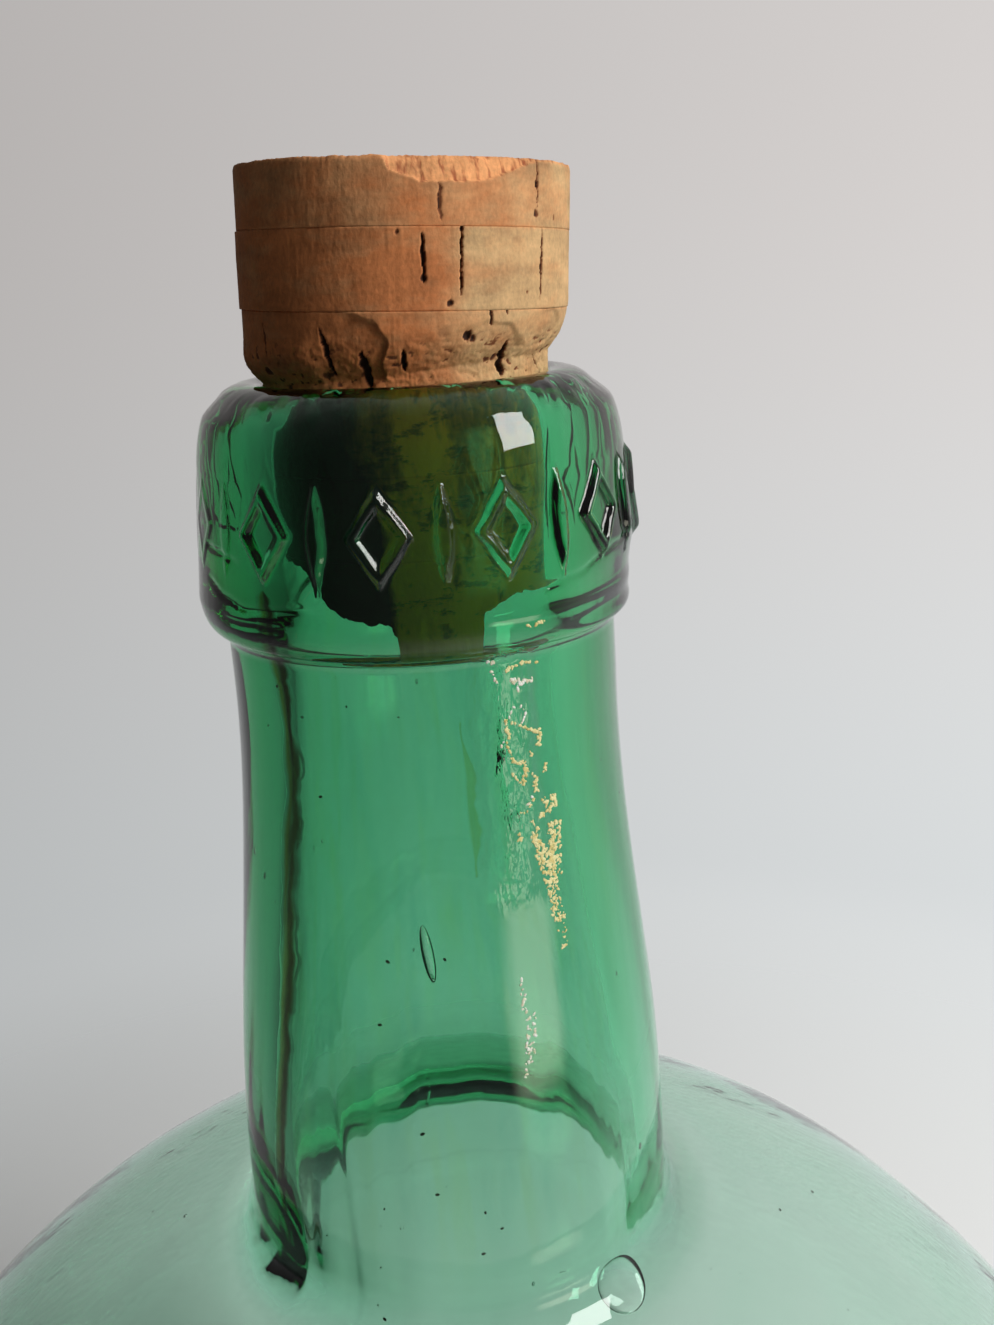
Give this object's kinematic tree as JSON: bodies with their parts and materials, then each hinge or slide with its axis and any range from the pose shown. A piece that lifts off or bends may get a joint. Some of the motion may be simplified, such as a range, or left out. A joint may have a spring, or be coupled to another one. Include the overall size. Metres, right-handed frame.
{
  "type": "demijohn",
  "caption": "Round-bellied green glass demijohn with a tall neck, a pressed collar under the lip and a tapered layered cork stopper that pulls out.",
  "frame": {"origin": "centre of the ring that the bottle rests on", "axes": "+Z along the bottle's axis, from the base to the stopper; -Y towards the side that the picture shows"},
  "size_m": [0.242, 0.242, 0.371],
  "materials": {
    "body_glass": "glossy, lightly wavy",
    "collar_glass": "glossy, pressed relief",
    "cork": "matt, whittled"
  },
  "bodies": {
    "bottle": {"glass_body": "body_glass", "neck_collar": "collar_glass"},
    "stopper": {"cork_layer_1": "cork", "cork_layer_2": "cork", "cork_layer_3": "cork", "cork_layer_4": "cork", "cork_layer_5": "cork", "cork_layer_6": "cork"}
  },
  "joints": [
    {"name": "stopper_pull", "type": "slide", "parent": "bottle", "child": "stopper", "axis": [0, 0, 1], "range_m": [0, 0.06]}
  ]
}
